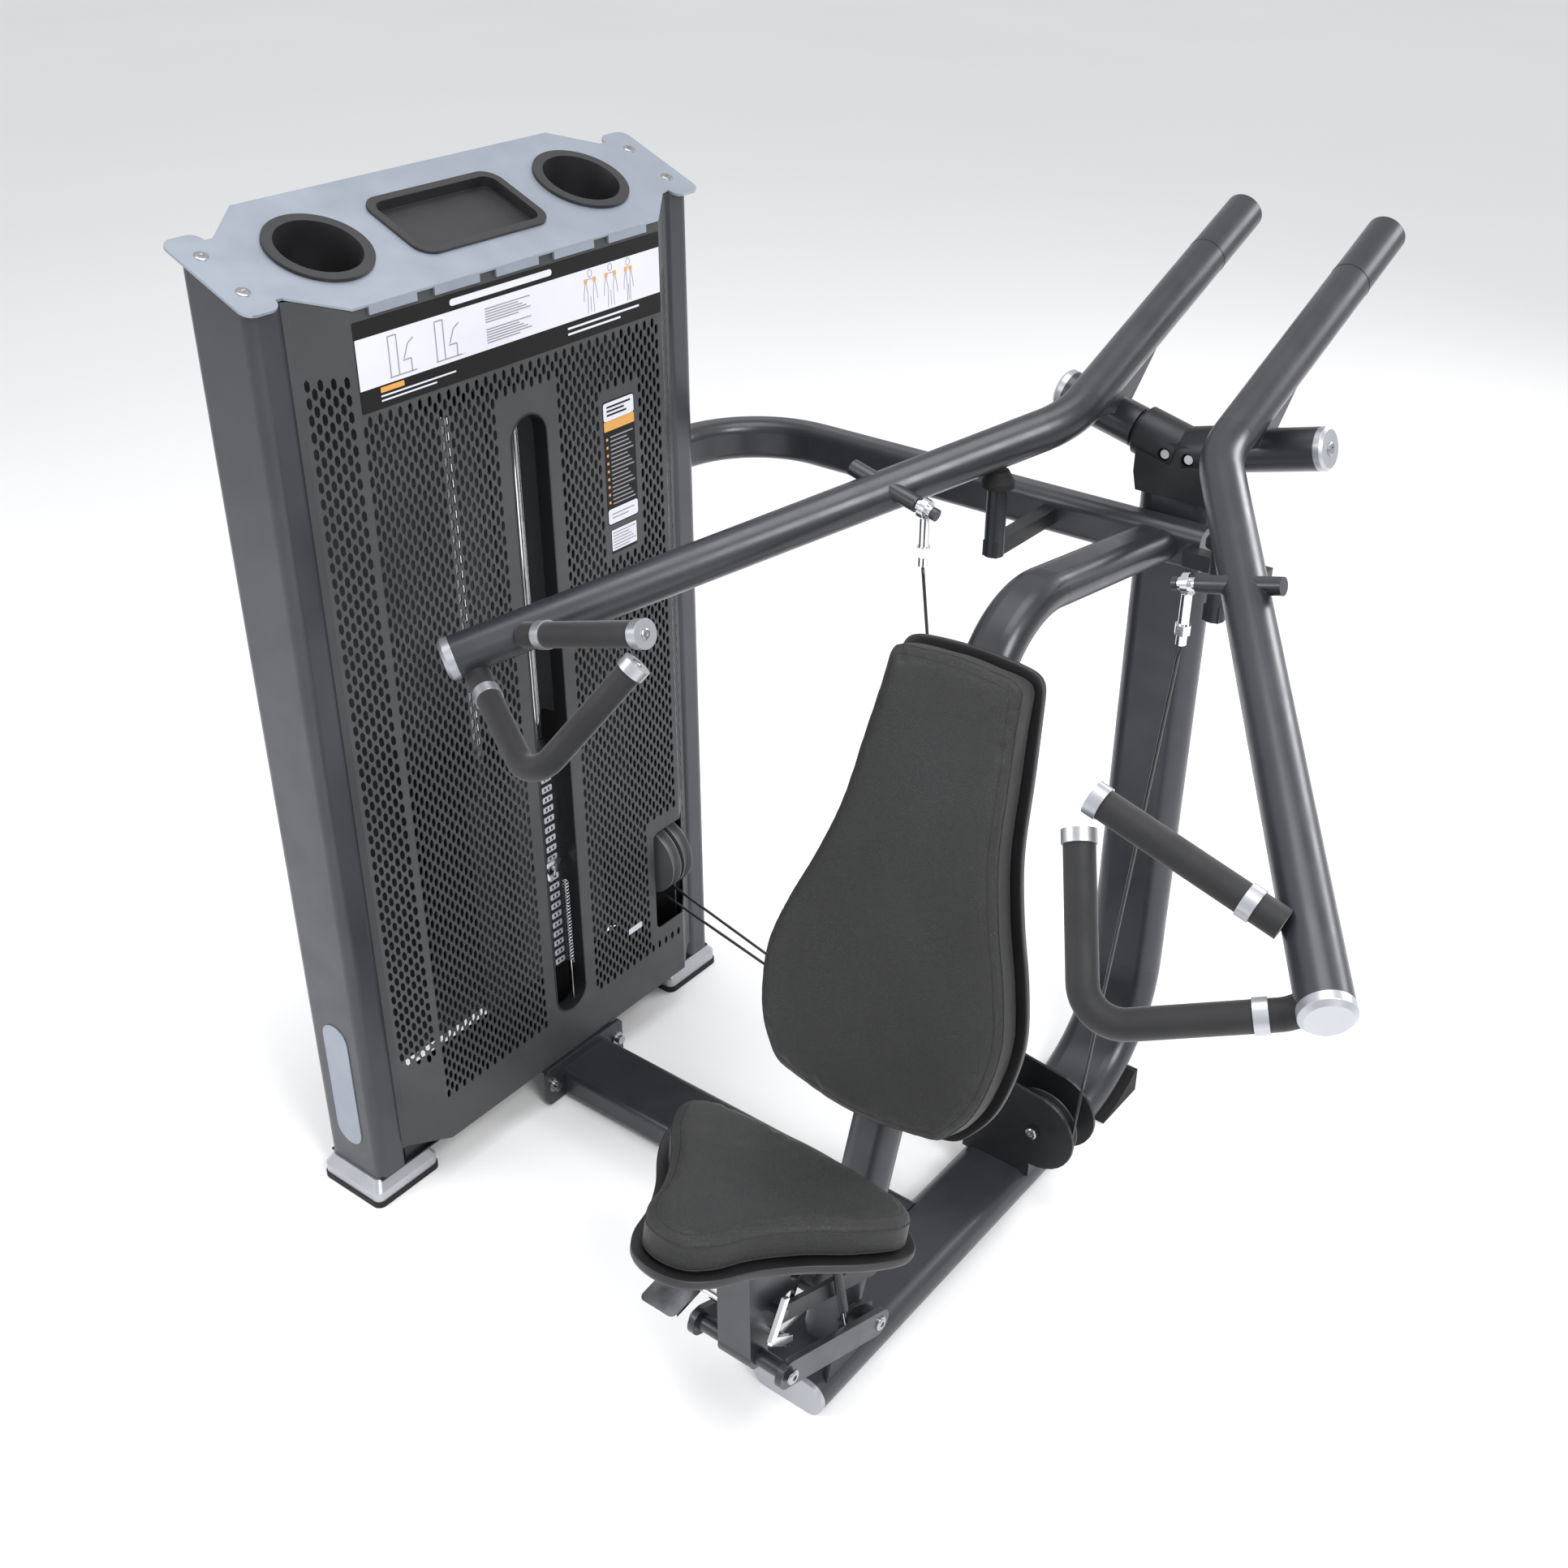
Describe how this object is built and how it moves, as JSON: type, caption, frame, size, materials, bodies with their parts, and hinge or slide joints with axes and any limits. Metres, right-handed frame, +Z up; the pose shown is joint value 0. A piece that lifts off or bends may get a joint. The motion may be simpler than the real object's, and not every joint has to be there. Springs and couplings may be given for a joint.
{
  "type": "shoulder press machine",
  "caption": "Pin-loaded shoulder press: perforated weight tower, padded backrest and gas-lifted seat, and two converging press arms with double grips, linked by cables.",
  "frame": {"origin": "on the floor, under the centre plane of the seat and press arms, level with the cross of that plane and the arms' catalogue datum 336 mm in front of the arm pivot", "axes": "+Z up; +X from the weight tower towards the far press arm, square to the seat's centre plane; +Y backwards, so the user faces -Y"},
  "size_m": [1.5843, 1.5926, 1.5307],
  "materials": {
    "frame_paint": "graphite powder coat, satin",
    "panel_paint": "graphite powder coat, satin, perforated",
    "plate_paint": "silver-grey powder coat, satin",
    "bright_steel": "polished chromed steel",
    "dark_steel": "black zinc or oxide, satin",
    "plate_steel": "black enamelled steel plate",
    "rubber": "matt moulded rubber",
    "grip_foam": "soft matt grip sleeve",
    "black_plastic": "moulded plastic, fine grain",
    "grey_plastic": "moulded nylon, satin",
    "silver_plastic": "silver-grey moulded cap, satin",
    "label_film": "satin printed film",
    "upholstery": "black grained leather-like cover",
    "cable_sheath": "black nylon-coated steel cable"
  },
  "bodies": {
    "frame": {"base_beam": "frame_paint", "base_front_cap": "silver_plastic", "rear_foot": "rubber", "connector_beam": "frame_paint", "frame_bolts": "bright_steel", "rear_upright": "frame_paint", "cross_tube": "frame_paint", "backrest_post": "frame_paint", "pivot_housing": "dark_steel", "arm_stops": "dark_steel", "stop_bumpers": "rubber", "tower_base": "dark_steel", "column_front": "frame_paint", "column_rear": "frame_paint", "tower_head": "dark_steel", "panel_inner": "panel_paint", "panel_outer": "panel_paint", "top_plate": "plate_paint", "cup_holders": "black_plastic", "tray": "black_plastic", "placard": "label_film", "badge_plate": "plate_paint", "foot_covers": "silver_plastic", "foot_pads": "rubber", "guide_rods": "bright_steel", "rest_plates": "plate_steel", "lanyard_spring": "bright_steel", "base_pulley_bracket": "dark_steel", "cable_right": "cable_sheath", "cable_left": "cable_sheath", "cable_drops": "cable_sheath", "backrest_shell": "black_plastic", "backrest_pad": "upholstery", "seat_bracket": "dark_steel"},
    "arm_right": {"arm_right": "frame_paint", "arm_ends_right": "silver_plastic", "grips_right": "grip_foam"},
    "arm_left": {"arm_left": "frame_paint", "arm_ends_left": "silver_plastic", "grips_left": "grip_foam"},
    "rod_end_right": {"rod_end_right": "bright_steel"},
    "rod_end_left": {"rod_end_left": "bright_steel"},
    "cable_foot_right": {"cable_span_right": "cable_sheath"},
    "cable_foot_left": {"cable_span_left": "cable_sheath"},
    "lifted_stack": {"stack_head": "plate_steel", "lifted_plates": "plate_steel"},
    "selector_pin": {"selector_pin": "bright_steel"},
    "tower_sheaves": {"sheaves_tower": "grey_plastic"},
    "top_sheaves_near": {"sheaves_top_near": "black_plastic"},
    "top_sheaves_far": {"sheaves_top_far": "black_plastic"},
    "base_sheave_right": {"sheave_right": "black_plastic"},
    "base_sheave_left": {"sheave_left": "black_plastic"},
    "lower_links": {"seat_links": "frame_paint"},
    "upper_links": {"seat_upper_links": "dark_steel"},
    "seat": {"seat_carriage": "frame_paint", "seat_shell": "black_plastic", "seat_pad": "upholstery"},
    "seat_lever": {"seat_lever": "bright_steel"},
    "gas_cylinder": {"gas_cylinder": "dark_steel"},
    "gas_rod": {"gas_rod": "bright_steel"}
  },
  "joints": [
    {"name": "press_arm_right", "type": "hinge", "parent": "frame", "child": "arm_right", "pos_m": [0, 0.336, 1.14], "axis": [-0.9694, 0, -0.2453], "range_deg": [0, 50]},
    {"name": "press_arm_left", "type": "hinge", "parent": "frame", "child": "arm_left", "pos_m": [0, 0.336, 1.14], "axis": [-0.9694, 0, 0.2453], "range_deg": [0, 50]},
    {"name": "rod_end_right_swing", "type": "hinge", "parent": "arm_right", "child": "rod_end_right", "pos_m": [0.2, -0.05, 1.126], "axis": [-0.9694, 0, -0.2453], "range_deg": [-50, 0]},
    {"name": "rod_end_left_swing", "type": "hinge", "parent": "arm_left", "child": "rod_end_left", "pos_m": [-0.2, -0.05, 1.126], "axis": [-0.9694, 0, 0.2453], "range_deg": [-50, 0]},
    {"name": "cable_right_pay", "type": "slide", "parent": "rod_end_right", "child": "cable_foot_right", "axis": [0.2361, -0.272, -0.9329], "range_m": [0, 0.34]},
    {"name": "cable_left_pay", "type": "slide", "parent": "rod_end_left", "child": "cable_foot_left", "axis": [-0.2361, -0.272, -0.9329], "range_m": [0, 0.34]},
    {"name": "stack_lift", "type": "slide", "parent": "frame", "child": "lifted_stack", "axis": [0, 0, 1], "range_m": [0, 0.33], "deforming": ["lanyard_spring", "cable_drops"]},
    {"name": "selector_pin_pull", "type": "slide", "parent": "lifted_stack", "child": "selector_pin", "axis": [1, 0, 0], "range_m": [0, 0.06]},
    {"name": "tower_sheaves_spin", "type": "hinge", "parent": "frame", "child": "tower_sheaves", "pos_m": [-0.748, -0.035, 0.331], "axis": [0, -1, 0], "continuous": true},
    {"name": "top_sheaves_near_spin", "type": "hinge", "parent": "frame", "child": "top_sheaves_near", "pos_m": [-0.8085, -0.0725, 1.29], "axis": [-1, 0, 0], "continuous": true},
    {"name": "top_sheaves_far_spin", "type": "hinge", "parent": "frame", "child": "top_sheaves_far", "pos_m": [-0.8085, -0.2625, 1.29], "axis": [-1, 0, 0], "continuous": true},
    {"name": "base_sheave_right_spin", "type": "hinge", "parent": "frame", "child": "base_sheave_right", "pos_m": [0.065, -0.05, 0.15], "axis": [0, -1, 0], "continuous": true},
    {"name": "base_sheave_left_spin", "type": "hinge", "parent": "frame", "child": "base_sheave_left", "pos_m": [-0.17, -0.02, 0.18], "axis": [0, -1, 0], "continuous": true},
    {"name": "seat_height", "type": "hinge", "parent": "frame", "child": "lower_links", "pos_m": [0, -0.506, 0.11], "axis": [-1, 0, 0], "range_deg": [-15, 26]},
    {"name": "upper_link_swing", "type": "hinge", "parent": "frame", "child": "upper_links", "pos_m": [0, -0.478, 0.18], "axis": [-1, 0, 0], "range_deg": [-15, 26]},
    {"name": "seat_level", "type": "hinge", "parent": "lower_links", "child": "seat", "pos_m": [0, -0.7154, 0.19503], "axis": [-1, 0, 0], "range_deg": [-26, 15]},
    {"name": "seat_release", "type": "hinge", "parent": "seat", "child": "seat_lever", "pos_m": [0, -0.69, 0.222], "axis": [-1, 0, 0], "range_deg": [0, 12], "stiffness_Nm_per_rad": 2, "springref_deg": -11.46},
    {"name": "gas_spring_swing", "type": "hinge", "parent": "seat", "child": "gas_cylinder", "pos_m": [0.062, -0.6, 0.33], "axis": [-1, 0, 0], "range_deg": [-20, 20]},
    {"name": "gas_spring_stroke", "type": "slide", "parent": "gas_cylinder", "child": "gas_rod", "axis": [0, 0.1871, -0.9823], "range_m": [-0.06, 0.1]}
  ],
  "couplings": [
    {"joint": "press_arm_left", "follows": "press_arm_right", "ratio": 1},
    {"joint": "rod_end_right_swing", "follows": "press_arm_right", "ratio": -1},
    {"joint": "rod_end_left_swing", "follows": "press_arm_right", "ratio": -1},
    {"joint": "cable_right_pay", "follows": "press_arm_right", "m_per_rad": 0.37876},
    {"joint": "cable_left_pay", "follows": "press_arm_right", "m_per_rad": 0.37876},
    {"joint": "stack_lift", "follows": "press_arm_right", "m_per_rad": 0.378},
    {"joint": "tower_sheaves_spin", "follows": "press_arm_right", "ratio": 6.248},
    {"joint": "base_sheave_right_spin", "follows": "press_arm_right", "ratio": 6.574},
    {"joint": "base_sheave_left_spin", "follows": "press_arm_right", "ratio": 6.574},
    {"joint": "top_sheaves_near_spin", "follows": "press_arm_right", "ratio": 10.08},
    {"joint": "top_sheaves_far_spin", "follows": "press_arm_right", "ratio": 10.08},
    {"joint": "upper_link_swing", "follows": "seat_height", "ratio": 1},
    {"joint": "seat_level", "follows": "seat_height", "ratio": -1},
    {"joint": "gas_spring_swing", "follows": "seat_height", "ratio": 0.559},
    {"joint": "gas_spring_stroke", "follows": "seat_height", "m_per_rad": 0.1832}
  ]
}
